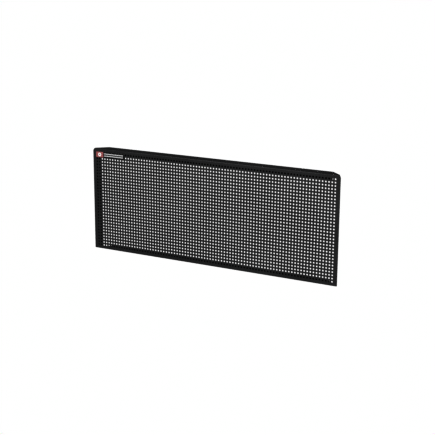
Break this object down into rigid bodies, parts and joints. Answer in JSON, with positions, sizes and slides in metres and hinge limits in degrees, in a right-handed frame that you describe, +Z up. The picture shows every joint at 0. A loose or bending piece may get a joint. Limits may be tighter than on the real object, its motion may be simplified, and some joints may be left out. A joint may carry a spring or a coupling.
{
  "type": "perforated tool panel",
  "caption": "Black perforated sheet-steel back panel with folded flanges, for hanging tool hooks or shelf brackets on a wall or bench.",
  "frame": {"origin": "middle of the panel's length and whole depth, on the plane of the underside of the bottom flange", "axes": "+X along the panel to the right as seen from the front, +Y from the front to the back, +Z up; the perforated front faces -Y"},
  "size_m": [1.032, 0.0494, 0.402],
  "materials": {
    "black_powder_coat": "fine satin texture powder coat",
    "weld_under_coat": "powder-coated weld bead",
    "badge_black": "satin plastic film",
    "badge_red": "semi-gloss printed plastic",
    "badge_pale": "semi-gloss printed plastic"
  },
  "bodies": {
    "root": {"perforated_face_1": "black_powder_coat", "perforated_face_2": "black_powder_coat", "perforated_face_3": "black_powder_coat", "perforated_face_4": "black_powder_coat", "top_flange": "black_powder_coat", "top_rear_lip": "black_powder_coat", "bottom_flange": "black_powder_coat", "bottom_rear_lip": "black_powder_coat", "left_side_return": "black_powder_coat", "right_side_return": "black_powder_coat", "corner_welds": "weld_under_coat", "badge_plate": "badge_black", "badge_tile": "badge_red", "badge_ring": "badge_pale", "badge_stripes": "badge_pale"}
  },
  "joints": []
}
